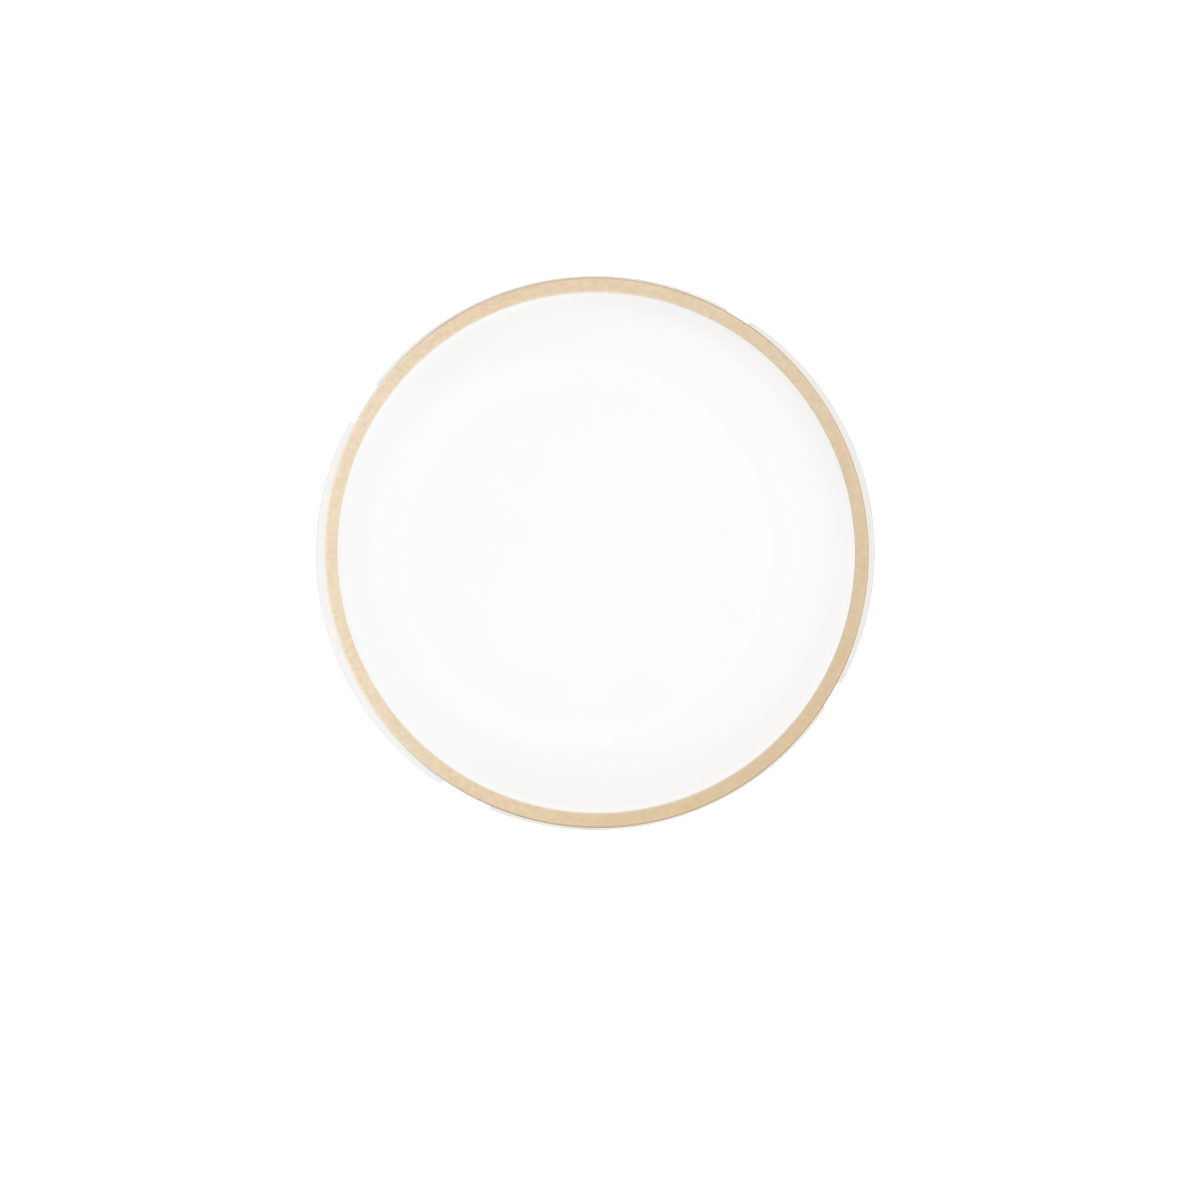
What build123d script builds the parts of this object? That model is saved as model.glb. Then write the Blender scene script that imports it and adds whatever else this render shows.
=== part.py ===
"""China dinner plate: a shallow coupe dish with a gilded rim land and four pale lips outside it.

Frame: +Z up, origin on the table under the plate's centre, +X through a broad lip and +Y through
a slim lip. Sizes are in millimetres and angles in degrees.

One fired body carries a coat of glaze. The coat is wiped off the foot ring, which parts it into a
face coat and a base coat, and a gold band is fired onto the face coat. Each layer is the plate's
form grown by that layer's thickness, less the form below it.
"""

import math
import os

from build123d import *

# Layers
glaze = 0.3  # thickness of the fired glaze
gold = 0.15  # thickness of the fired gold

# Rim seen from above, over the glaze
lips_across_x = 270.0  # over the two broad lips
lips_across_y = 267.6  # over the two slim lips
land_across_x = 262.8  # oval land between the broad lips
land_across_y = 265.8  # oval land between the slim lips
lip_curve_x = 132.9  # radius of a broad lip, a little tighter than the plate's own circle
lip_curve_y = 131.1  # radius of a slim lip
lip_gap = 6.0  # angle of the bare notch between two lips
lip_corner = 0.9  # rounding of a lip's two ends, seen from above
band_width_x = 6.6  # gold from the land's edge inwards, along X
band_width_y = 7.2  # gold from the land's edge inwards, along Y
land_border = 1.2  # white land left inside the gold, at its narrowest

# Heights above the table, over the glaze
rim_height = 23.5  # to the land's edge, before it is rounded
land_rise = 6.0  # slope of the land, rising outwards
lip_thickness = 2.3
floor_thickness = 4.6  # through the well
panel_height = 3.3  # table to the base panel inside the foot ring

# Dish, over the glaze
well_radius = 76.0  # flat floor
shoulder_round = 2.6  # rounding where the wall meets the land
wall_thickness = 4.0
rim_thickness = 3.4  # land to the flat under the rim, at the land's edge
back_round = 6.0  # hollow where the back of the wall meets the flat under the rim

# Foot ring, bare body
foot_radius = 70.0  # middle of the contact face
foot_width = 4.4
foot_draft = 12.0  # lean of its two sides
foot_edge = 0.9  # rounding beside the contact face
foot_root = 2.0  # hollow where its sides meet the plate
glaze_stop = 1.3  # height above the table where the wiped glaze begins

# Rounded edges, over the glaze, and the step between the gold and the lips
land_edge = 0.9
lip_edge = 0.7
gold_wrap = 0.8  # how far the gold runs down over the land's edge
lip_step = 0.4  # white glaze between the gold's lower edge and the top of the lips

# Making allowances
blank_margin = 2.0  # the turned blank stands this far past the lips before it is cut
match = 0.01  # a vertex this close to a drawn corner is that corner

# The bare body, worked out from the sizes over the glaze
floor_top = panel_height + floor_thickness - glaze
panel = panel_height + glaze
land_top = rim_height - glaze
lip_top = land_top - gold_wrap - lip_step
lip_under = lip_top - lip_thickness + 2 * glaze
rim_under = min(lip_under, land_top - rim_thickness + 2 * glaze)
band_inner_x = land_across_x / 2 - band_width_x
band_inner_y = land_across_y / 2 - band_width_y
shoulder_radius = min(band_inner_x, band_inner_y) - land_border
land_radius = max(land_across_x, land_across_y) / 2 - glaze
land_narrow = min(land_across_x, land_across_y) / 2 - glaze
land_middle = (shoulder_radius + land_narrow) / 2
blank_radius = max(lips_across_x, lips_across_y) / 2 + blank_margin
shoulder_top = land_top - (land_radius - shoulder_radius) * math.tan(math.radians(land_rise))
wall_run = shoulder_radius - well_radius
wall_curve = (wall_run**2 + (shoulder_top - floor_top) ** 2) / (2 * (shoulder_top - floor_top))
back_curve = wall_curve + wall_thickness - 2 * glaze
back_low = floor_top + wall_curve - back_curve
back_end = well_radius + math.sqrt(back_curve**2 - (floor_top + wall_curve - rim_under) ** 2)
foot_lean = math.tan(math.radians(foot_draft))
lip_sweep = math.radians(45 - lip_gap / 2)


def near(vertices, *points):
    """The vertices that stand at these points, on either side of the axis."""
    return [v for v in vertices for x, y in points if math.hypot(abs(v.X) - x, v.Y - y) < match]


def beyond(edges, radius):
    """The edges whose middles stand further from the plate's axis than this radius."""
    return [e for e in edges if math.hypot((e @ 0.5).X, (e @ 0.5).Y) > radius + match]


def turned_section(grow):
    """Half of the plate's section, its rim left long, with every face moved outwards by grow."""
    foot_out = foot_radius + foot_width / 2
    foot_in = foot_radius - foot_width / 2
    root_out = (foot_out + back_low * foot_lean, back_low)
    root_in = (foot_in - panel * foot_lean, panel)
    shoulder = (shoulder_radius, shoulder_top)
    rim_end = shoulder_top + (blank_radius - shoulder_radius) * math.tan(math.radians(land_rise))
    with BuildSketch(Plane.XZ) as section:
        with BuildLine():
            Line((0, floor_top), (well_radius, floor_top))
            RadiusArc((well_radius, floor_top), shoulder, -wall_curve)
            Polyline(shoulder, (blank_radius, rim_end), (blank_radius, rim_under), (back_end, rim_under))
            RadiusArc((back_end, rim_under), (well_radius, back_low), back_curve)
            Polyline((well_radius, back_low), root_out, (foot_out, 0), (foot_in, 0), root_in, (0, panel))
            mirror(about=Plane.YZ)
        make_face()
        fillet(near(vertices(), shoulder), shoulder_round - glaze)
        fillet(near(vertices(), (back_end, rim_under)), back_round + glaze)
        fillet(near(vertices(), root_out, root_in), foot_root)
        fillet(near(vertices(), (foot_out, 0), (foot_in, 0)), foot_edge)
        if grow:
            offset(amount=grow)
        with Locations((blank_radius, blank_radius)):
            Rectangle(2 * blank_radius, 2 * blank_radius, mode=Mode.INTERSECT)
    return section.sketch


def lip(across, curve, grow):
    """One lip along +X, from inside the land out to its own curve, with every face moved by grow."""
    curve_centre = across / 2 - glaze - curve
    apex = -grow / math.sin(lip_sweep)
    reach = curve_centre - apex
    side = reach * math.cos(lip_sweep) + math.sqrt((curve + grow) ** 2 - (reach * math.sin(lip_sweep)) ** 2)
    end_x = apex + side * math.cos(lip_sweep)
    end_y = side * math.sin(lip_sweep)
    with BuildPart() as piece:
        with BuildSketch(Plane.XY.offset(lip_under - grow)):
            with BuildLine():
                Polyline((end_x, -end_y), (apex, 0), (end_x, end_y))
                ThreePointArc((end_x, end_y), (curve_centre + curve + grow, 0), (end_x, -end_y))
            make_face()
            fillet(near(vertices(), (end_x, end_y), (end_x, -end_y)), lip_corner - glaze + grow)
            Circle(land_middle, mode=Mode.SUBTRACT)
        extrude(amount=lip_top - lip_under + 2 * grow)
        rims = edges().group_by(Axis.Z)
        fillet(beyond(rims[0] + rims[-1], land_middle), lip_edge - glaze + grow)
    return piece.part


def form(grow):
    """The whole plate with every face moved outwards by grow from the bare body."""
    section = turned_section(grow)
    broad = lip(lips_across_x, lip_curve_x - glaze, grow)
    slim = lip(lips_across_y, lip_curve_y - glaze, grow)
    with BuildPart() as plate:
        add(section)
        revolve(axis=Axis.Z)
        with BuildSketch():
            Ellipse(land_across_x / 2 - glaze + grow, land_across_y / 2 - glaze + grow)
        extrude(amount=2 * rim_height, mode=Mode.INTERSECT)
        fillet(beyond(edges(), land_narrow + grow - land_edge), land_edge - glaze + grow)
        with PolarLocations(0, 2):
            add(broad)
        with PolarLocations(0, 2, start_angle=90):
            add(slim)
    return plate.part


bare_form = form(0)
glazed_form = form(glaze)
gilded_form = form(glaze + gold)

with BuildPart() as porcelain_body:
    add(bare_form)

with BuildPart() as coat:
    add(glazed_form)
    add(bare_form, mode=Mode.SUBTRACT)
    Cylinder(2 * foot_radius, 2 * glaze_stop, mode=Mode.SUBTRACT)

with BuildPart() as face_glaze:
    add(coat.solids().sort_by(SortBy.VOLUME)[-1])

with BuildPart() as base_glaze:
    add(coat.solids().sort_by(SortBy.VOLUME)[0])

with BuildPart() as gold_band:
    with BuildSketch(Plane.XY.offset(lip_top)):
        Circle(land_middle)
    extrude(amount=rim_height)
    with BuildSketch(Plane.XY.offset(rim_height - gold_wrap)):
        Circle(blank_radius)
    extrude(amount=rim_height)
    with BuildSketch(Plane.XY.offset(lip_top)):
        Ellipse(band_inner_x, band_inner_y)
    extrude(amount=2 * rim_height, mode=Mode.SUBTRACT)
    add(gilded_form, mode=Mode.INTERSECT)
    add(glazed_form, mode=Mode.SUBTRACT)

os.makedirs("parts", exist_ok=True)
for piece, name in (
    (porcelain_body, "porcelain_body"),
    (face_glaze, "face_glaze"),
    (base_glaze, "base_glaze"),
    (gold_band, "gold_band"),
):
    piece.part.label = name
    export_step(piece.part, f"parts/{name}.step")
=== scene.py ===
# Gilded china dinner plate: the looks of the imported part. Sizes are in millimetres, angles in degrees.
import bmesh
import bpy
import math
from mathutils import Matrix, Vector, noise


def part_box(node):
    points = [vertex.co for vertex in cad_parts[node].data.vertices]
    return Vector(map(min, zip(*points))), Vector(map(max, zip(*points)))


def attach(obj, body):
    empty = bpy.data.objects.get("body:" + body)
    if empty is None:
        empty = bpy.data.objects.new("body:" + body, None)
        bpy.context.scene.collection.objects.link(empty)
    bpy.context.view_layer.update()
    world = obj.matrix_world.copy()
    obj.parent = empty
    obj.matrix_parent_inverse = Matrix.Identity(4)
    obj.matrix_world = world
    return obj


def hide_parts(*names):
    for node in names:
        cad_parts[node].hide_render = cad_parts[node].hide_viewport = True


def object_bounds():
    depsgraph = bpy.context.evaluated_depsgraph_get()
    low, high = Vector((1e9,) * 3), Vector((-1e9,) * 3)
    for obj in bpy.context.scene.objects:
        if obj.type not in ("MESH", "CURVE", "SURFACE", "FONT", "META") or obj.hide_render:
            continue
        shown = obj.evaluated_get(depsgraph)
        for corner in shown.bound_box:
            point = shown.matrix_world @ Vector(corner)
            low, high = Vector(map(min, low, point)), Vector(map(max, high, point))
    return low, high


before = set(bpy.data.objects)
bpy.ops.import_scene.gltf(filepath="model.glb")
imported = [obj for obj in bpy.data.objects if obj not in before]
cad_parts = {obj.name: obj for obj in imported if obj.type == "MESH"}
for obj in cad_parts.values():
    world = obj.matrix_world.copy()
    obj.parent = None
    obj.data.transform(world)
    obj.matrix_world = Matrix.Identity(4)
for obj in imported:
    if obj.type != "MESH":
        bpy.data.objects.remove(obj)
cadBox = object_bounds()
mm = 0.001
weld = 0.002  # points nearer than this are one point
endless = 1e6  # a pattern stretched this far along an axis does not change along it

faceLow, faceHigh = (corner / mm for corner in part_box("face_glaze"))
baseLow, baseHigh = (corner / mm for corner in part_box("base_glaze"))
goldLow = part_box("gold_band")[0] / mm
print("stage 1: frame loaded, nodes", sorted(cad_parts))

# The bare body's form. Each coat is this form grown outwards by the coat's thickness.
form = {
    "glaze": 0.3,
    "gold": 0.15,
    "wellRadius": 76.0,
    "floorTop": 7.6,
    "shoulderRadius": 123.6,
    "shoulderRound": 2.3,
    "closings": 40,  # rounds of closing in on the shoulder's centre
    "landOval": (131.1, 132.6),  # half widths along X and Y
    "landTop": 23.2,  # at the wider half width
    "landRise": 6.0,
    "landEdge": 0.6,
    "wallThickness": 3.4,
    "lipTop": 22.0,
    "lipUnder": 20.3,
    "lipEdge": 0.4,
    "lipPool": 0.35,  # hollow between the land's side and a lip, half filled by the glaze
    "lipCurve": (132.6, 133.4),
    "lipHalfAngle": 42.0,  # half of an even lip
    "lipEnds": ((-42.4, 42.4), (47.3, 128.6), (137.7, 222.5), (233.3, 312.4)),  # from +X round
    "lipEndWidth": 1.0,  # a lip's end falls away over this much of the rim
    "lipSteps": 66,
    "endSteps": 8,
    "notchSteps": 2,  # from a lip's end to the middle of the notch
    "landOffset": (0.42, 0.09),  # the trimmed land and its gold sit this far off the lips' centre
    "backHollow": 6.3,
    "footRadius": 70.0,
    "footWidth": 4.4,
    "footDraft": 12.0,
    "footRoot": 2.0,
    "footEdge": 0.9,
    "stopSwell": ((0.75, -0.02), (0.35, -0.05), (0.12, 0.02), (0.02, 0.12), (0.0, 0.22)),  # rise, depth
    "panel": baseHigh.z,
}
form["lipReach"] = (faceHigh.x - form["glaze"], faceHigh.y - form["glaze"])

up, out, down = 90.0, 0.0, -90.0
landSlope = math.tan(math.radians(form["landRise"]))
landSlant = math.cos(math.radians(form["landRise"]))
shoulderTop = form["landTop"] - (form["landOval"][1] - form["shoulderRadius"]) * landSlope
wallRun = form["shoulderRadius"] - form["wellRadius"]
wallRise = shoulderTop - form["floorTop"]
wallCurve = (wallRun**2 + wallRise**2) / (2 * wallRise)
wallCentre = (form["wellRadius"], form["floorTop"] + wallCurve)
backCurve = wallCurve + form["wallThickness"]


def landHeight(radius):
    return shoulderTop + (radius - form["shoulderRadius"]) * landSlope


def facing(start, end):
    # the direction, in degrees, from one point of the section to another
    return math.degrees(math.atan2(end[1] - start[1], end[0] - start[0]))


def shoulderCentre():
    # the circle under the land that also touches the wall's curve from below
    curve = form["shoulderRound"]
    radius = form["shoulderRadius"]
    for _ in range(form["closings"]):
        height = landHeight(radius) - curve / landSlant
        radius -= math.hypot(radius - wallCentre[0], height - wallCentre[1]) - wallCurve - curve
    return radius, height


def bend(centre, radius, start, end, steps):
    # an arc of the section, by the direction that its surface faces; a hollow has a negative radius
    return {"centre": centre, "radius": radius, "start": start, "end": end, "steps": steps}


def bendPoints(arc, grow):
    points = []
    reach = arc["radius"] + grow
    for step in range(arc["steps"] + 1):
        angle = math.radians(arc["start"] + (arc["end"] - arc["start"]) * step / arc["steps"])
        height = arc["centre"][1] + reach * math.sin(angle)
        points.append((arc["centre"][0] + reach * math.cos(angle), height))
    return points


def run(start, end, count, guard=0.2):
    # points along a straight stretch, with one close to each end to keep the shading of a flat face flat
    length = math.dist(start, end)
    if length < 3 * guard:
        shares = [(step + 1) / (count + 3) for step in range(count + 2)]
    else:
        edge = guard / length
        shares = [edge + (1 - 2 * edge) * step / (count + 1) for step in range(count + 2)]
    return [(start[0] + (end[0] - start[0]) * s, start[1] + (end[1] - start[1]) * s) for s in shares]


def eased(share):
    # 0 to 1 with a soft start and a soft end
    share = min(max(share, 0.0), 1.0)
    return share * share * (3 - 2 * share)


def ovalReach(oval, turn):
    # how far an oval reaches at this angle, from its half widths along X and Y
    return oval[0] * oval[1] / math.hypot(oval[1] * math.cos(turn), oval[0] * math.sin(turn))


def landRadius(turn):
    return ovalReach(form["landOval"], turn)


def offCentre(turn):
    return form["landOffset"][0] * math.cos(turn) + form["landOffset"][1] * math.sin(turn)


def settled(points, turn):
    # eases the dish's wall over to the land's centre, from none at the flat floor
    moved = []
    for radius, height in points:
        moved.append((radius + offCentre(turn) * eased((radius - form["wellRadius"]) / wallRun), height))
    return moved


def nearestLip(turn):
    # which lip is nearest (0 is a broad one, 1 a slim one), and how far round its middle is
    quarter = round(turn / (math.pi / 2))
    return quarter % 2, turn - quarter * math.pi / 2


def lipRadius(turn):
    lip, away = nearestLip(turn)
    curve = form["lipCurve"][lip]
    offset = form["lipReach"][lip] - curve
    return offset * math.cos(away) + math.sqrt(curve**2 - (offset * math.sin(away)) ** 2)


def lipPresence(turn):
    # 1 along a lip, 0 in the notch between two lips
    angle = (math.degrees(turn) + 45) % 360 - 45
    width = math.degrees(form["lipEndWidth"] / form["landOval"][1])
    inside = max(min(angle - start, end - angle) for start, end in form["lipEnds"])
    return eased(inside / width)


def handCut(turn):
    # moves an evenly spun angle so that an even lip's ends come to the lip's own ends
    half = form["lipHalfAngle"]
    stops = []
    for quarter, (start, end) in enumerate(form["lipEnds"]):
        stops += [(90 * quarter - half, start), (90 * quarter + half, end)]
    last, first = stops[-1], stops[0]
    stops = [(last[0] - 360, last[1] - 360), *stops, (first[0] + 360, first[1] + 360)]
    even = (math.degrees(turn) + 45) % 360 - 45
    for (low, lowCut), (high, highCut) in zip(stops, stops[1:]):
        if low <= even <= high:
            return math.radians(lowCut + (highCut - lowCut) * (even - low) / (high - low))


shoulder = shoulderCentre()
wallFacing = facing(shoulder, wallCentre)
backHollowHeight = form["lipUnder"] - form["backHollow"]
backHollowDrop = wallCentre[1] - backHollowHeight
backHollowRadius = math.sqrt((backCurve + form["backHollow"]) ** 2 - backHollowDrop**2) + wallCentre[0]
backHollow = (backHollowRadius, backHollowHeight)
backFacing = facing(wallCentre, backHollow)
backLow = wallCentre[1] - backCurve
footLean = math.radians(form["footDraft"])


def footCentre(side, radius, height):
    # centre of a foot rounding; side is 1 outside and -1 inside, and a hollow has a negative radius
    face = form["footRadius"] + side * form["footWidth"] / 2
    return face + side * (-radius + height * math.sin(footLean)) / math.cos(footLean), height


def dishBends():
    return [
        bend(wallCentre, -wallCurve, up, wallFacing, 30),
        bend(shoulder, form["shoulderRound"], wallFacing, up + form["landRise"], 7),
    ]


def landEdgeBend(turn, steps=9):
    radius = landRadius(turn) - form["landEdge"]
    centre = (radius + offCentre(turn), landHeight(radius) - form["landEdge"] / landSlant)
    return bend(centre, form["landEdge"], up + form["landRise"], out, steps)


def joined(bends, grow, between):
    # the bends' points with straight runs between them
    points = bendPoints(bends[0], grow)
    for arc, count in zip(bends[1:], between):
        ahead = bendPoints(arc, grow)
        points += run(points[-1], ahead[0], count) + ahead
    return points


def hollowBend():
    return bend(backHollow, -form["backHollow"], down, backFacing, 8)


def lipPath(turn, grow):
    # from the land's edge, over a lip, to the start of the hollow under the rim
    land, lip = landRadius(turn) + offCentre(turn), lipRadius(turn)
    pool, edge = form["lipPool"], form["lipEdge"]
    bends = [
        landEdgeBend(turn),
        bend((land + pool, form["lipTop"] + pool), -pool, out, up, 3),
        bend((lip - edge, form["lipTop"] - edge), edge, up, out, 5),
        bend((lip - edge, form["lipUnder"] + edge), edge, out, down, 5),
        hollowBend(),
    ]
    return joined(bends, grow, (0, 1, 1, 2))


def notchPath(turn, grow, count):
    # the same stretch down a bare notch, with the same count of points
    edge = form["landEdge"]
    land = landRadius(turn) + offCentre(turn)
    side = bendPoints(landEdgeBend(turn), grow)
    under = bendPoints(bend((land - edge, form["lipUnder"] + edge), edge, out, down, 5), grow)
    hollow = bendPoints(hollowBend(), grow)
    after = run(under[-1], hollow[0], 2) + hollow
    wallCount = count - len(side) - len(under) - len(after)
    radius, top = side[-1]
    wallStep = (under[0][1] - top) / (wallCount + 1)
    wall = [(radius, top + wallStep * (step + 1)) for step in range(wallCount)]
    return side + wall + under + after


def rimPoints(turn, grow):
    lip = lipPath(turn, grow)
    notch = notchPath(turn, grow, len(lip))
    share = lipPresence(turn)
    return [(n[0] + (p[0] - n[0]) * share, n[1] + (p[1] - n[1]) * share) for n, p in zip(notch, lip)]


def topPoints(turn, grow):
    # from the plate's centre, over the floor, wall, land and rim, to the hollow under the rim
    dish = settled(joined(dishBends(), grow, (0,)), turn)
    rim = rimPoints(turn, grow)
    centre = (0.0, form["floorTop"] + grow)
    return [centre] + run(centre, dish[0], 12) + dish + run(dish[-1], rim[0], 4) + rim


def backBends():
    root = form["footRoot"]
    return [
        bend(wallCentre, backCurve, backFacing, down, 24),
        bend(footCentre(1, -root, backLow - root), -root, down, -form["footDraft"], 6),
    ]


def footBends():
    edge = form["footEdge"]
    lean = form["footDraft"]
    return [
        bend(footCentre(1, edge, edge), edge, -lean, down, 6),
        bend(footCentre(-1, edge, edge), edge, down, lean - 180, 6),
    ]


def baseBend():
    root = form["footRoot"]
    return bend(footCentre(-1, -root, form["panel"] - root), -root, form["footDraft"] - 180, down, 6)


def bodySection(turn):
    top = topPoints(turn, 0)
    under = joined(backBends() + footBends() + [baseBend()], 0, (1, 2, 2, 2))
    centre = (0.0, form["panel"])
    return top + under[1:] + run(under[-1], centre, 8) + [centre]


def glazeStop(side, height, grow, depth):
    # where a foot face, grown by a coat, stands at this height
    face = form["footRadius"] + side * form["footWidth"] / 2
    return face + side * (height * math.sin(footLean) + grow - depth) / math.cos(footLean), height


def stopBead(side):
    # the wiped end of the glaze: it swells a little, then rolls under to the bare body
    height, coat = faceLow.z, form["glaze"]
    return [glazeStop(side, height + rise, coat, depth) for rise, depth in form["stopSwell"]]


def faceSection(turn):
    coat = form["glaze"]
    outer = topPoints(turn, coat) + joined(backBends(), coat, (1,))[1:]
    inner = topPoints(turn, 0)[::2] + joined(backBends(), 0, (1,))[1::2]
    return outer + stopBead(1) + [glazeStop(1, faceLow.z, 0, 0)] + inner[::-1]


def baseSection(turn):
    coat = form["glaze"]
    outer = bendPoints(baseBend(), coat)[::-1]
    inner = bendPoints(baseBend(), 0)
    centre, inside = (0.0, form["panel"] - coat), (0.0, form["panel"])
    under = [centre] + run(centre, outer[0], 14) + outer + stopBead(-1)
    return under + [glazeStop(-1, baseLow.z, 0, 0)] + inner + run(inner[-1], inside, 4) + [inside]


bandForm = {
    "innerOval": (124.8, 125.7),
    "innerEdge": ((0.0, -0.03), (0.02, 0.05), (0.07, 0.11), (0.16, 0.15)),  # run, thickness
    "waver": 0.05,  # of the brushed inner edge
    "waverPitch": 9.0,
    "bite": 0.03,  # how far the gold sinks into the glaze
}


def bandSection(turn):
    coat = form["glaze"]
    start = ovalReach(bandForm["innerOval"], turn)
    waver = Vector((math.cos(turn), math.sin(turn), 0.0)) * bandForm["waverPitch"]
    start += bandForm["waver"] * noise.noise(waver)
    edge = []
    for over, thick in bandForm["innerEdge"]:
        height = landHeight(start + over) + (coat + thick) / landSlant
        edge.append((start + over + offCentre(turn), height))
    turnDown = landEdgeBend(turn, 10)
    reach = turnDown["radius"] + coat + form["gold"]
    turnDown["end"] = math.degrees(math.asin((goldLow.z - turnDown["centre"][1]) / reach))
    skin = bendPoints(turnDown, coat + form["gold"])
    below = bendPoints(turnDown, coat - bandForm["bite"])
    return edge + run(edge[-1], skin[0], 5) + skin + below[::-1] + run(below[0], edge[0], 1)[1:-1]


def meshObject(name, bm):
    mesh = bpy.data.meshes.new(name)
    bm.to_mesh(mesh)
    bm.free()
    thing = bpy.data.objects.new(name, mesh)
    bpy.context.scene.collection.objects.link(thing)
    return thing


def turnPiece(name, section, closed):
    # spins a section through one lip and half a notch each side, repeats it round the plate,
    # and then sets each point by the form at its own angle
    half = math.radians(form["lipHalfAngle"])
    end = form["lipEndWidth"] / form["landOval"][1]
    lipTurn = 2 * (half - end)
    notchTurn = math.pi / 4 - half
    begin = -math.pi / 4
    bm = bmesh.new()
    place = bm.verts.layers.int.new("place")
    verts = []
    for index, (radius, height) in enumerate(section(begin)):
        verts.append(bm.verts.new((radius * math.cos(begin), radius * math.sin(begin), height)))
        verts[-1][place] = index
    pairs = list(zip(verts, verts[1:])) + ([(verts[-1], verts[0])] if closed else [])
    geom = verts + [bm.edges.new(pair) for pair in pairs]
    notch, lipEnd = (notchTurn, form["notchSteps"]), (end, form["endSteps"])
    about = {"cent": (0, 0, 0), "axis": (0, 0, 1)}
    for angle, steps in (notch, lipEnd, (lipTurn, form["lipSteps"]), lipEnd, notch):
        spun = bmesh.ops.spin(bm, geom=geom, angle=angle, steps=steps, use_duplicate=False, **about)
        geom = spun["geom_last"]
    quarter = bm.verts[:] + bm.edges[:] + bm.faces[:]
    bmesh.ops.spin(bm, geom=quarter, angle=1.5 * math.pi, steps=3, use_duplicate=True, **about)
    bmesh.ops.remove_doubles(bm, verts=bm.verts, dist=weld)
    sections = {}
    for vert in bm.verts:
        if math.hypot(vert.co.x, vert.co.y) < weld:
            continue  # it stands on the axis
        spunTurn = round(math.atan2(vert.co.y, vert.co.x), 5)
        if spunTurn not in sections:
            turn = handCut(spunTurn)
            sections[spunTurn] = turn, section(turn)
        turn, points = sections[spunTurn]
        radius, height = points[vert[place]]
        vert.co = (radius * math.cos(turn), radius * math.sin(turn), height)
    bmesh.ops.scale(bm, vec=(mm, mm, mm), verts=bm.verts)
    bmesh.ops.recalc_face_normals(bm, faces=bm.faces)
    for face in bm.faces:
        face.smooth = True
    return meshObject(name, bm)


# Finishes. A pattern is its repeats per metre and its detail. A relief is its strength and its depth in
# metres. A span counts from the plate's centre, with the land's edge as 1. A turn counts across the
# plate, from -1 to 1 at the clock angle that it goes with.
def addNode(tree, kind, feeds=None, **settings):
    # a node with its settings, and for each input a value or the socket that feeds it
    node = tree.nodes.new(kind)
    for key, value in settings.items():
        setattr(node, key, value)
    for key, value in (feeds or {}).items():
        if isinstance(value, bpy.types.NodeSocket):
            tree.links.new(value, node.inputs[key])
        else:
            node.inputs[key].default_value = value
    return node


def mathNode(tree, operation, first, second=0.0):
    return addNode(tree, "ShaderNodeMath", {0: first, 1: second}, operation=operation).outputs["Value"]


def both(tree, first, second):
    # where two masks overlap
    return mathNode(tree, "MULTIPLY", first, second)


def vectorNode(tree, operation, feeds, output="Vector"):
    return addNode(tree, "ShaderNodeVectorMath", feeds, operation=operation).outputs[output]


def axisOf(tree, vector, axis):
    return addNode(tree, "ShaderNodeSeparateXYZ", {0: vector}).outputs[axis]


def noiseNode(tree, coordinates, scale, detail):
    feeds = {"Vector": coordinates, "Scale": scale, "Detail": detail}
    return addNode(tree, "ShaderNodeTexNoise", feeds).outputs


def rangeNode(tree, value, low, high, toLow=0.0, toHigh=1.0, smooth=False):
    style = "SMOOTHSTEP" if smooth else "LINEAR"
    feeds = {"Value": value, "From Min": low, "From Max": high, "To Min": toLow, "To Max": toHigh}
    return addNode(tree, "ShaderNodeMapRange", feeds, interpolation_type=style).outputs["Result"]


def rising(tree, value, limits, top=1.0):
    # a soft mask from 0 at the first limit to the top at the second
    return rangeNode(tree, value, *limits, 0.0, top, smooth=True)


def blendColours(tree, share, first, second):
    node = addNode(tree, "ShaderNodeMix", {0: share, 6: first, 7: second}, data_type="RGBA")
    return node.outputs[2]


def newGroup(name, inputs, outputs):
    group = bpy.data.node_groups.new(name, "ShaderNodeTree")
    for socket, kind in inputs.items():
        group.interface.new_socket(name=socket, in_out="INPUT", socket_type="NodeSocket" + kind)
    for socket, kind in outputs.items():
        group.interface.new_socket(name=socket, in_out="OUTPUT", socket_type="NodeSocket" + kind)
    entry = group.nodes.new("NodeGroupInput").outputs
    leave = group.nodes.new("NodeGroupOutput").inputs
    return group, entry, leave


def useGroup(tree, group, feeds):
    return addNode(tree, "ShaderNodeGroup", feeds, node_tree=group).outputs


def newFinish(name):
    material = bpy.data.materials.new(name)
    material.use_nodes = True
    tree = material.node_tree
    shader = tree.nodes["Principled BSDF"]
    coordinates = tree.nodes.new("ShaderNodeTexCoord").outputs["Object"]
    return material, tree, shader, coordinates


def dress(tree, shader, colour, roughness, height, relief):
    strength, depth = relief
    bump = addNode(tree, "ShaderNodeBump", {"Strength": strength, "Distance": depth, "Height": height})
    tree.links.new(colour, shader.inputs["Base Color"])
    tree.links.new(roughness, shader.inputs["Roughness"])
    tree.links.new(bump.outputs["Normal"], shader.inputs["Normal"])


def ovalRadius(tree, coordinates):
    # 1 at the land's edge, less inside it, at any height
    middle = [offset * mm for offset in form["landOffset"]]
    reach = [(half + form["glaze"]) * mm for half in form["landOval"]]
    feeds = {"Vector": coordinates, "Location": (*middle, 0.0), "Scale": (*reach, endless)}
    mapping = addNode(tree, "ShaderNodeMapping", feeds, vector_type="TEXTURE")
    return vectorNode(tree, "LENGTH", {0: mapping.outputs["Vector"]}, "Value")


def towards(tree, coordinates, clock):
    # -1 to 1 across the plate, highest at this clock angle
    aim = clockAim(clock) / (form["landOval"][1] * mm)
    return vectorNode(tree, "DOT_PRODUCT", {0: coordinates, 1: aim}, "Value")


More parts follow.
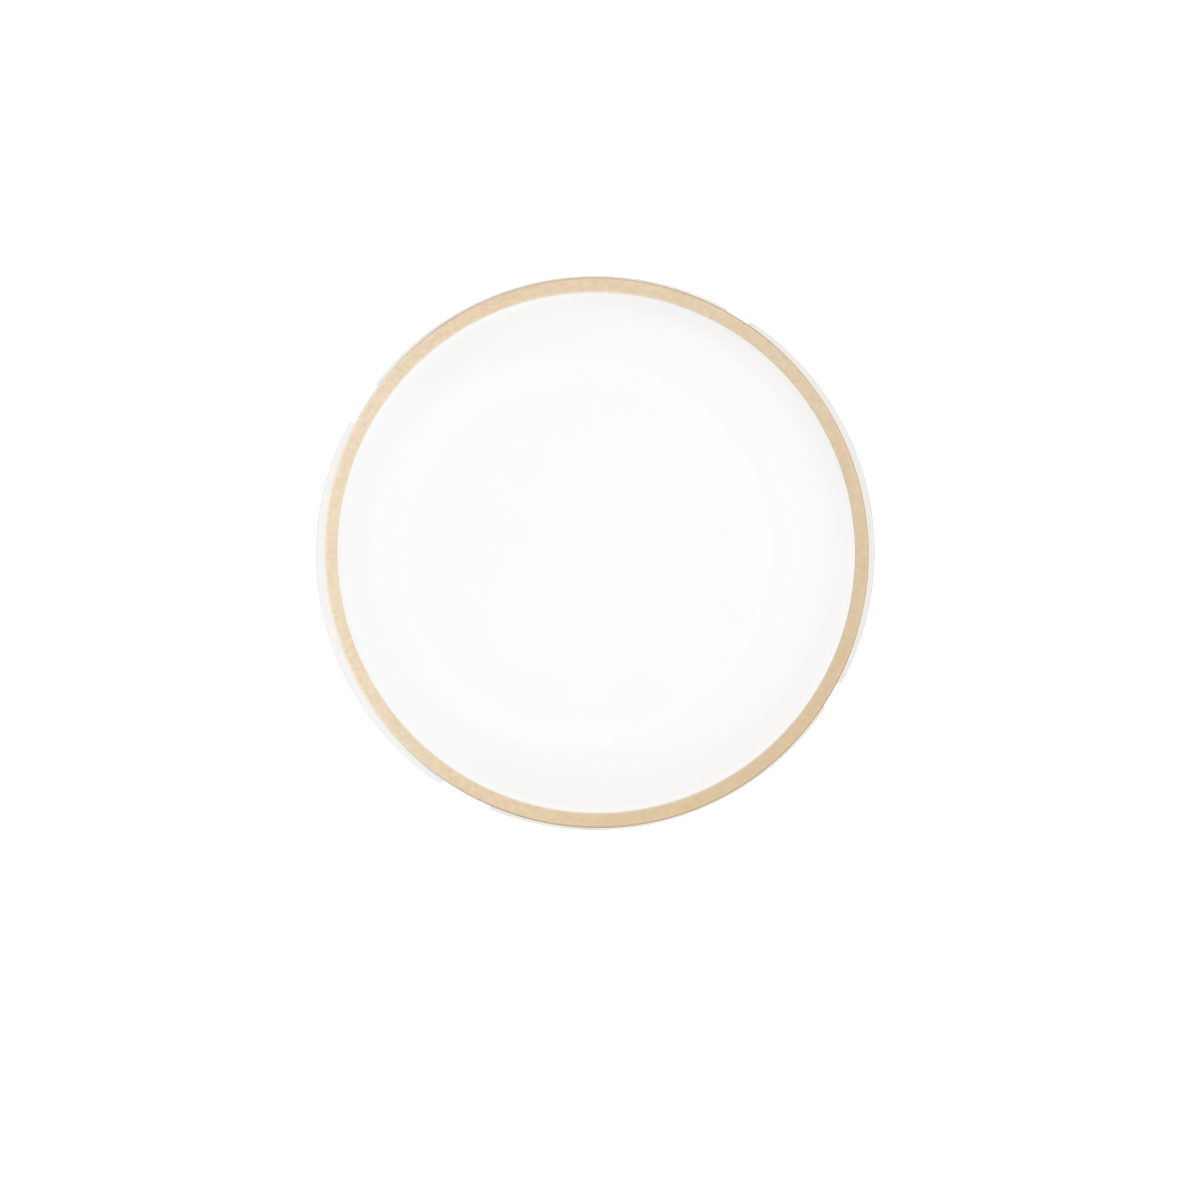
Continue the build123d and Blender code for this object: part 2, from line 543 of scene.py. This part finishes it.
patternStyle = {
    "cloud": (26.0, 3.0),
    "cloudLimits": (0.35, 0.7),
    "drift": (60.0, 4.0),
    "driftLimits": (0.3, 0.7),
    "peelDetail": 1.0,
    "grainDetail": 3.0,
    "speckShare": 0.35,  # of the places where one could be
}


def makeGlazeSkin():
    # melted glass: a cloudy tone, a drifting sheen and the low ripple of orange peel
    style = patternStyle
    inputs = {"Coordinates": "Vector", "Tone": "Color", "Thin Tone": "Color"}
    inputs.update({"Sheen": "Float", "Sheen Drift": "Float", "Peel": "Float"})
    outputs = {"Color": "Color", "Roughness": "Float", "Height": "Float"}
    group, entry, leave = newGroup("glazeSkin", inputs, outputs)
    cloud = noiseNode(group, entry["Coordinates"], *style["cloud"])["Fac"]
    drift = noiseNode(group, entry["Coordinates"], *style["drift"])["Fac"]
    peel = noiseNode(group, entry["Coordinates"], entry["Peel"], style["peelDetail"])["Fac"]
    share = rangeNode(group, cloud, *style["cloudLimits"])
    group.links.new(blendColours(group, share, entry["Tone"], entry["Thin Tone"]), leave["Color"])
    level = both(group, rangeNode(group, drift, *style["driftLimits"]), entry["Sheen Drift"])
    group.links.new(mathNode(group, "ADD", level, entry["Sheen"]), leave["Roughness"])
    group.links.new(peel, leave["Height"])
    return group


def makeTurnedGrain():
    # fine lines that follow the turning of the plate
    inputs = {"Coordinates": "Vector", "Around": "Float", "Across": "Float"}
    group, entry, leave = newGroup("turnedGrain", inputs, {"Grain": "Float"})
    flat = vectorNode(group, "MULTIPLY", {0: entry["Coordinates"], 1: (1.0, 1.0, 0.0)})
    radius = vectorNode(group, "LENGTH", {0: flat}, "Value")
    aim = vectorNode(group, "NORMALIZE", {0: flat})
    around = vectorNode(group, "SCALE", {0: aim, "Scale": entry["Around"]})
    across = mathNode(group, "MULTIPLY", radius, entry["Across"])
    lift = addNode(group, "ShaderNodeCombineXYZ", {"Z": across})
    path = vectorNode(group, "ADD", {0: around, 1: lift.outputs["Vector"]})
    group.links.new(noiseNode(group, path, 1.0, patternStyle["grainDetail"])["Fac"], leave["Grain"])
    return group


def makeKilnSpecks():
    # sparse dark grains left by the clay and the kiln
    inputs = {"Coordinates": "Vector", "Spread": "Float", "Size": "Float"}
    group, entry, leave = newGroup("kilnSpecks", inputs, {"Mask": "Float"})
    feeds = {"Vector": entry["Coordinates"], "Scale": entry["Spread"]}
    cell = addNode(group, "ShaderNodeTexVoronoi", feeds)
    spot = mathNode(group, "LESS_THAN", cell.outputs["Distance"], entry["Size"])
    tint = addNode(group, "ShaderNodeSeparateColor", {"Color": cell.outputs["Color"]})
    chosen = mathNode(group, "LESS_THAN", tint.outputs["Red"], patternStyle["speckShare"])
    group.links.new(both(group, spot, chosen), leave["Mask"])
    return group


glazeSkin, turnedGrain, kilnSpecks = makeGlazeSkin(), makeTurnedGrain(), makeKilnSpecks()

bareBodyStyle = {
    "clay": (0.80, 0.765, 0.71, 1),
    "warmClay": (0.74, 0.69, 0.62, 1),
    "cloud": (70.0, 2.0),
    "cloudLimits": (0.35, 0.65),
    "groundFoot": (0.66, 0.61, 0.55, 1),  # rubbed on the foot's contact face
    "groundHeight": (0.0012, 0.0002),  # in metres
    "rubbing": {"Around": 9.0, "Across": 5200.0},
    "rubbingLimits": (0.4, 0.62),
    "speck": (0.25, 0.2, 0.16, 1),
    "specks": {"Spread": 900.0, "Size": 0.16},
    "speckDepth": 0.5,
    "grit": (2400.0, 3.0),
    "gritLimits": (0.3, 0.7),
    "roughness": (0.62, 0.88),
    "relief": (0.7, 0.00004),
}


def bareBodyFinish():
    style = bareBodyStyle
    material, tree, shader, coordinates = newFinish("bisqueChina")
    grit = noiseNode(tree, coordinates, *style["grit"])["Fac"]
    cloud = noiseNode(tree, coordinates, *style["cloud"])["Fac"]
    marks = useGroup(tree, turnedGrain, {"Coordinates": coordinates, **style["rubbing"]})["Grain"]
    specks = useGroup(tree, kilnSpecks, {"Coordinates": coordinates, **style["specks"]})["Mask"]
    ground = rising(tree, axisOf(tree, coordinates, "Z"), style["groundHeight"])
    warm = rangeNode(tree, cloud, *style["cloudLimits"])
    colour = blendColours(tree, warm, style["clay"], style["warmClay"])
    rubbed = both(tree, ground, rangeNode(tree, marks, *style["rubbingLimits"]))
    colour = blendColours(tree, rubbed, colour, style["groundFoot"])
    specks = mathNode(tree, "MULTIPLY", specks, style["speckDepth"])
    colour = blendColours(tree, specks, colour, style["speck"])
    roughness = rangeNode(tree, grit, *style["gritLimits"], *style["roughness"])
    height = mathNode(tree, "ADD", grit, both(tree, marks, ground))
    dress(tree, shader, colour, roughness, height, style["relief"])
    return material


def glazeOver(tree, coordinates, style):
    return useGroup(tree, glazeSkin, {
        "Coordinates": coordinates, "Tone": style["tone"], "Thin Tone": style["thinTone"],
        "Sheen": style["sheen"], "Sheen Drift": style["sheenDrift"], "Peel": style["peel"],
    })


faceGlazeStyle = {
    "tone": (0.874, 0.873, 0.869, 1),
    "thinTone": (0.867, 0.865, 0.859, 1),
    "wallLight": (0.889, 0.889, 0.887, 1),  # painted light: the lower half of the wall is painted paler, lifting its shade
    "wallStart": (0.58, 0.74),
    "wallStop": (0.9, 0.79),
    "warmShade": (0.853, 0.84, 0.818, 1),  # painted shade: the wall is painted darker and warmer at the lower right
    "warmClock": 130.0,
    "warmSpan": (0.72, 0.95),
    "wallLitSide": (0.913, 0.912, 0.914, 1),  # painted light: the wall is painted palest across from it
    "brightClock": 262.0,
    "brightTurn": (0.3, 0.95),
    "brightSpan": (0.76, 0.88),
    "landShade": (0.836, 0.826, 0.81, 1),  # painted shade on the narrow white land inside the band
    "landDeepShade": (0.785, 0.77, 0.748, 1),
    "landClock": 36.0,  # the painted shade on the land and the top of the wall is deepest here
    "landTurn": (0.45, 0.9),
    "landSpan": (0.93, 0.945),
    "landDepth": 0.9,
    "wallTopSpan": (0.85, 0.94),
    "wallTopDepth": 0.55,
    # painted light and shade on the lips: paler on one side, deeper across from it
    "lipLit": (0.824, 0.818, 0.807, 1),
    "lipShaded": (0.785, 0.767, 0.741, 1),
    "lipLitClock": 265.0,
    "lipTurn": (0.1, 0.95),
    "lipSpan": (0.997, 1.0015),
    "lipHeight": (0.018, 0.020),  # in metres; the outside below a lip keeps the plain tone
    "lipEdge": (0.62, 0.597, 0.57, 1),  # painted shade: a dark line over a lip's edge, deeper on the lips' shaded side
    "lipEdgeDeepShade": (0.47, 0.455, 0.44, 1),
    "lipEdgeStart": (0.02, 0.35),  # millimetres below the top of the lip
    "lipEdgeStop": (1.1, 0.7),
    "lipEdgeDepth": 0.85,
    "pool": (0.95, 0.94, 0.92, 1),  # painted light: the hollow behind it is painted paler, lifting its shade
    "hollowLightSpan": (1.006, 1.001),
    "sheen": 0.07,
    "sheenDrift": 0.06,
    "peel": 190.0,
    "relief": (0.5, 0.00001),
}


def faceGlazeFinish():
    style = faceGlazeStyle
    material, tree, shader, coordinates = newFinish("faceGlaze")
    skin = glazeOver(tree, coordinates, style)
    oval = ovalRadius(tree, coordinates)
    height = axisOf(tree, coordinates, "Z")
    # painted light: the lower half of the wall is painted paler, lifting its shade
    thick = both(tree, rising(tree, oval, style["wallStart"]), rising(tree, oval, style["wallStop"]))
    colour = blendColours(tree, thick, skin["Color"], style["wallLight"])
    # painted shade, warm, on the wall at the lower right
    warm = rangeNode(tree, towards(tree, coordinates, style["warmClock"]), 0.0, 1.0)
    warm = both(tree, warm, rising(tree, oval, style["warmSpan"]))
    colour = blendColours(tree, warm, colour, style["warmShade"])
    # painted light on the wall, across from the painted shade
    bright = rising(tree, towards(tree, coordinates, style["brightClock"]), style["brightTurn"])
    bright = both(tree, bright, rising(tree, oval, style["brightSpan"]))
    colour = blendColours(tree, bright, colour, style["wallLitSide"])
    # painted shade on the land inside the band and on the top of the wall, deepest on one side
    deep = rising(tree, towards(tree, coordinates, style["landClock"]), style["landTurn"])
    wallTop = both(tree, deep, rising(tree, oval, style["wallTopSpan"], style["wallTopDepth"]))
    colour = blendColours(tree, wallTop, colour, style["landDeepShade"])
    landShade = blendColours(tree, deep, style["landShade"], style["landDeepShade"])
    land = rising(tree, oval, style["landSpan"], style["landDepth"])
    colour = blendColours(tree, land, colour, landShade)
    # painted light and shade on the lips, paler on one side and deeper across from it
    pale = rising(tree, towards(tree, coordinates, style["lipLitClock"]), style["lipTurn"])
    lip = blendColours(tree, pale, style["lipShaded"], style["lipLit"])
    # painted shade: a dark line over a lip's edge
    top = form["lipTop"] + form["glaze"]
    start = [(top - depth) * mm for depth in style["lipEdgeStart"]]
    stop = [(top - depth) * mm for depth in style["lipEdgeStop"]]
    edge = both(tree, rising(tree, height, start), rising(tree, height, stop, style["lipEdgeDepth"]))
    lipEdgeShade = blendColours(tree, pale, style["lipEdgeDeepShade"], style["lipEdge"])
    lip = blendColours(tree, edge, lip, lipEdgeShade)
    # painted light: the hollow behind a lip is painted paler, lifting its shade
    lip = blendColours(tree, rising(tree, oval, style["hollowLightSpan"]), lip, style["pool"])
    onLip = rangeNode(tree, height, *style["lipHeight"])
    onLip = both(tree, onLip, rangeNode(tree, oval, *style["lipSpan"]))
    colour = blendColours(tree, onLip, colour, lip)
    dress(tree, shader, colour, skin["Roughness"], skin["Height"], style["relief"])
    return material


baseGlazeStyle = {
    "tone": (0.845, 0.842, 0.83, 1),
    "thinTone": (0.815, 0.808, 0.79, 1),
    "speck": (0.3, 0.24, 0.18, 1),
    "specks": {"Spread": 110.0, "Size": 0.022},
    "speckDepth": 0.35,
    "sheen": 0.1,
    "sheenDrift": 0.1,
    "peel": 150.0,
    "relief": (0.6, 0.000015),
}


def baseGlazeFinish():
    style = baseGlazeStyle
    material, tree, shader, coordinates = newFinish("baseGlaze")
    skin = glazeOver(tree, coordinates, style)
    specks = useGroup(tree, kilnSpecks, {"Coordinates": coordinates, **style["specks"]})["Mask"]
    specks = mathNode(tree, "MULTIPLY", specks, style["speckDepth"])
    colour = blendColours(tree, specks, skin["Color"], style["speck"])
    dress(tree, shader, colour, skin["Roughness"], skin["Height"], style["relief"])
    return material


goldBandStyle = {
    # painted light and shade: pale and deep are the gold's lit and shaded sides round the ring, deepened
    # again by the clock angles below
    "pale": (0.652, 0.548, 0.411, 1),
    "deep": (0.575, 0.444, 0.284, 1),
    "goldShadeClock": 121.0,
    "deepAxis": 75.0,  # and a little deeper again square to this line
    "axisDepth": (0.22, -0.2),
    "deepPatch": 333.0,  # and once more round this clock angle
    "patchTurn": (0.85, 0.98),
    "patchDepth": 0.24,
    "grain": {"Around": 5.0, "Across": 3800.0},
    "patches": (430.0, 4.0),
    "fullRange": (0.2, 0.8),  # of the grain and of the patches
    "grainDepth": 0.1,
    "blotchDepth": 0.22,
    "rosy": (0.60, 0.46, 0.33, 1),  # patches where the firing left it redder
    "rosyLimits": (0.42, 0.68),
    "rosyDepth": 0.35,
    "shade": (0.48, 0.385, 0.26, 1),  # and small ones where it is thinner and duller
    "shadeLimits": (0.38, 0.68),
    "shadeDepth": 0.26,
    "thinEdge": (0.70, 0.63, 0.52, 1),  # the brushed inner edge, where the white shows through
    "thinSpan": (0.9525, 0.9487),
    "thinDepth": 0.6,
    "litEdge": (0.99, 0.93, 0.83, 1),
    "litClock": 268.0,  # the edge catches the light here
    "litTurn": (0.4, 1.0),
    "litSpan": (0.9885, 1.0),
    "evenEdge": 0.3,  # and a little over the broad lips and at this clock angle
    "evenClock": 352.0,
    "evenTurn": (0.85, 0.97),
    "evenSpan": (0.9955, 1.0),
    # painted shade: a dark line along the gold's outer edge
    "edgeShade": (0.46, 0.37, 0.24, 1),
    "edgeShadeClock": 140.0,  # the painted shade on the edge is deepest here
    "edgeShadeTurn": (-0.8, 0.5),
    "edgeShadeSpan": (0.9972, 1.0),
    "edgeShadeDepth": 0.6,
    "broadLips": (0.092, 0.06),  # in metres from the X axis, from where they count to where they do in full
    "roughness": (0.3, 0.44),
    "roughLimits": (0.25, 0.75),
    "roughPatches": 0.2,
    "roughPatchLimits": (0.3, 0.7),
    "grainRelief": 0.35,
    "patchRelief": 0.65,
    "relief": (0.6, 0.00001),
}


def goldBandFinish():
    style = goldBandStyle
    material, tree, shader, coordinates = newFinish("satinGold")
    grain = useGroup(tree, turnedGrain, {"Coordinates": coordinates, **style["grain"]})["Grain"]
    patches = noiseNode(tree, coordinates, *style["patches"])
    blotch = patches["Fac"]
    tint = addNode(tree, "ShaderNodeSeparateColor", {"Color": patches["Color"]}).outputs
    oval = ovalRadius(tree, coordinates)
    axis = towards(tree, coordinates, style["deepAxis"])
    patch = towards(tree, coordinates, style["deepPatch"])
    depths = [
        rangeNode(tree, mathNode(tree, "MULTIPLY", axis, axis), 0.0, 1.0, *style["axisDepth"]),
        rising(tree, patch, style["patchTurn"], style["patchDepth"]),
        rangeNode(tree, grain, *style["fullRange"], -style["grainDepth"], style["grainDepth"]),
        rangeNode(tree, blotch, *style["fullRange"], -style["blotchDepth"], style["blotchDepth"]),
    ]
    # painted light and shade round the ring: paler on one side, deeper on the other
    depth = rangeNode(tree, towards(tree, coordinates, style["goldShadeClock"]), -1.0, 1.0)
    for more in depths:
        depth = mathNode(tree, "ADD", depth, more)
    colour = blendColours(tree, depth, style["pale"], style["deep"])
    rosy = rangeNode(tree, tint["Blue"], *style["rosyLimits"], 0.0, style["rosyDepth"])
    colour = blendColours(tree, rosy, colour, style["rosy"])
    shade = rangeNode(tree, tint["Green"], *style["shadeLimits"], 0.0, style["shadeDepth"])
    colour = blendColours(tree, shade, colour, style["shade"])
    thin = rangeNode(tree, oval, *style["thinSpan"], 0.0, style["thinDepth"])
    colour = blendColours(tree, thin, colour, style["thinEdge"])
    across = mathNode(tree, "ABSOLUTE", axisOf(tree, coordinates, "Y"))
    broadLips = rising(tree, across, style["broadLips"])
    lit = rising(tree, towards(tree, coordinates, style["litClock"]), style["litTurn"])
    lit = both(tree, lit, rangeNode(tree, oval, *style["litSpan"]))
    even = rising(tree, towards(tree, coordinates, style["evenClock"]), style["evenTurn"])
    even = mathNode(tree, "ADD", even, broadLips)
    even = both(tree, even, rangeNode(tree, oval, *style["evenSpan"], 0.0, style["evenEdge"]))
    colour = blendColours(tree, mathNode(tree, "MAXIMUM", lit, even), colour, style["litEdge"])
    # painted shade: the dark line along the gold's outer edge, deepest on one side and left off the broad
    # lips
    edgeShadeSide = towards(tree, coordinates, style["edgeShadeClock"])
    edgeShading = rangeNode(tree, edgeShadeSide, *style["edgeShadeTurn"], 0.0, style["edgeShadeDepth"])
    edgeShading = both(tree, edgeShading, rising(tree, oval, style["edgeShadeSpan"]))
    edgeShading = both(tree, edgeShading, mathNode(tree, "SUBTRACT", 1.0, broadLips))
    colour = blendColours(tree, edgeShading, colour, style["edgeShade"])
    shader.inputs["Metallic"].default_value = 1.0
    spread = style["roughPatches"]
    drift = rangeNode(tree, blotch, *style["roughPatchLimits"], -spread, spread)
    roughness = mathNode(tree, "ADD", grain, drift)
    roughness = rangeNode(tree, roughness, *style["roughLimits"], *style["roughness"])
    grainHeight = mathNode(tree, "MULTIPLY", grain, style["grainRelief"])
    height = mathNode(tree, "ADD", grainHeight, mathNode(tree, "MULTIPLY", blotch, style["patchRelief"]))
    dress(tree, shader, colour, roughness, height, style["relief"])
    return material


# Floor, light and camera
studio = {
    "floorSize": 20.0,
    "floorColour": (0.8, 0.8, 0.8, 1),
    "floorRoughness": 0.9,
    "floorGlow": 0.6,  # lifts the floor to white for the camera, so that almost no shadow shows
    "skyTop": 0.91,
    "skyLow": (0.95, 1.44),  # near the horizon, on the dim side and on the bright side
    "skyBlend": (0.0, 0.9),  # how high the low sky reaches, as a share of straight up
    "brightClock": 265.0,
    "lampHeight": 1.9,
    "lampAcross": 2.0,
    "lampClock": 90.0,  # the lamp stands off to this side
    "lampAside": 0.55,
    "lampPower": 6.3,
    "cameraHeight": 2.5,
    "frameWidth": 0.5786,  # across the plate's rim
    "sensorWidth": 36.0,
    "clipEnd": 50.0,
    "cameraRoll": 14.0,  # the broad lips run this far round from level
    "lookRight": 0.00229,
    "lookDown": 0.02272,
}
roll = math.radians(studio["cameraRoll"])
right = Vector((math.cos(roll), -math.sin(roll), 0.0))
upward = Vector((-right.y, right.x, 0.0))


def clockAim(clock):
    # the direction across the plate of a clock angle, as the plate is set before the camera
    return upward * math.cos(math.radians(clock)) + right * math.sin(math.radians(clock))


def makeFloor():
    bm = bmesh.new()
    bmesh.ops.create_grid(bm, x_segments=1, y_segments=1, size=studio["floorSize"] / 2)
    floor = meshObject("floor", bm)
    material = bpy.data.materials.new("paleFloor")
    material.use_nodes = True
    tree = material.node_tree
    shader = tree.nodes["Principled BSDF"]
    shader.inputs["Base Color"].default_value = studio["floorColour"]
    shader.inputs["Roughness"].default_value = studio["floorRoughness"]
    shader.inputs["Specular IOR Level"].default_value = 0.0
    seen = tree.nodes.new("ShaderNodeLightPath").outputs["Is Camera Ray"]
    tree.links.new(blendColours(tree, seen, (0, 0, 0, 1), (1, 1, 1, 1)), shader.inputs["Emission Color"])
    shader.inputs["Emission Strength"].default_value = studio["floorGlow"]
    floor.data.materials.append(material)


def makeLight():
    world = bpy.data.worlds.new("studio")
    bpy.context.scene.world = world
    world.use_nodes = True
    tree = world.node_tree
    direction = tree.nodes.new("ShaderNodeTexCoord").outputs["Generated"]
    side = vectorNode(tree, "DOT_PRODUCT", {0: direction, 1: clockAim(studio["brightClock"])}, "Value")
    low = rangeNode(tree, side, -1.0, 1.0, *studio["skyLow"])
    height = axisOf(tree, direction, "Z")
    level = rangeNode(tree, height, *studio["skyBlend"], low, studio["skyTop"], smooth=True)
    tree.nodes["Background"].inputs["Color"].default_value = (1, 1, 1, 1)
    tree.links.new(level, tree.nodes["Background"].inputs["Strength"])
    data = bpy.data.lights.new("softbox", "AREA")
    data.shape = "DISK"
    data.size = studio["lampAcross"]
    data.energy = studio["lampPower"]
    lamp = bpy.data.objects.new("softbox", data)
    aside = clockAim(studio["lampClock"]) * studio["lampAside"]
    lamp.location = aside + Vector((0, 0, studio["lampHeight"]))
    lamp.rotation_euler = lamp.location.to_track_quat("Z", "Y").to_euler()
    bpy.context.scene.collection.objects.link(lamp)


def makeCamera():
    data = bpy.data.cameras.new("camera")
    camera = bpy.data.objects.new("camera", data)
    bpy.context.scene.collection.objects.link(camera)
    data.sensor_width = studio["sensorWidth"]
    data.lens = data.sensor_width * (studio["cameraHeight"] - cadBox[1].z) / studio["frameWidth"]
    data.clip_end = studio["clipEnd"]
    look = right * studio["lookRight"] - upward * studio["lookDown"]
    camera.location = look + Vector((0, 0, studio["cameraHeight"]))
    camera.rotation_euler = (0.0, 0.0, -roll)
    bpy.context.scene.camera = camera


pieces = {
    "bareBody": ("porcelain_body", "bisque", bodySection, False, bareBodyFinish),
    "faceGlaze": ("face_glaze", "glaze", faceSection, False, faceGlazeFinish),
    "baseGlaze": ("base_glaze", "glaze", baseSection, False, baseGlazeFinish),
    "goldBand": ("gold_band", "gold", bandSection, True, goldBandFinish),
}
for name, (node, slot, section, closed, finish) in pieces.items():
    piece = turnPiece(name, section, closed)
    piece.data.materials.append(finish())
    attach(piece, "root")
    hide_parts(node)
    print("stage 2:", name, len(piece.data.polygons), "faces")

makeFloor()
makeLight()
makeCamera()
bpy.context.scene.view_settings.view_transform = "Standard"
print("stage 3: floor, light and camera")
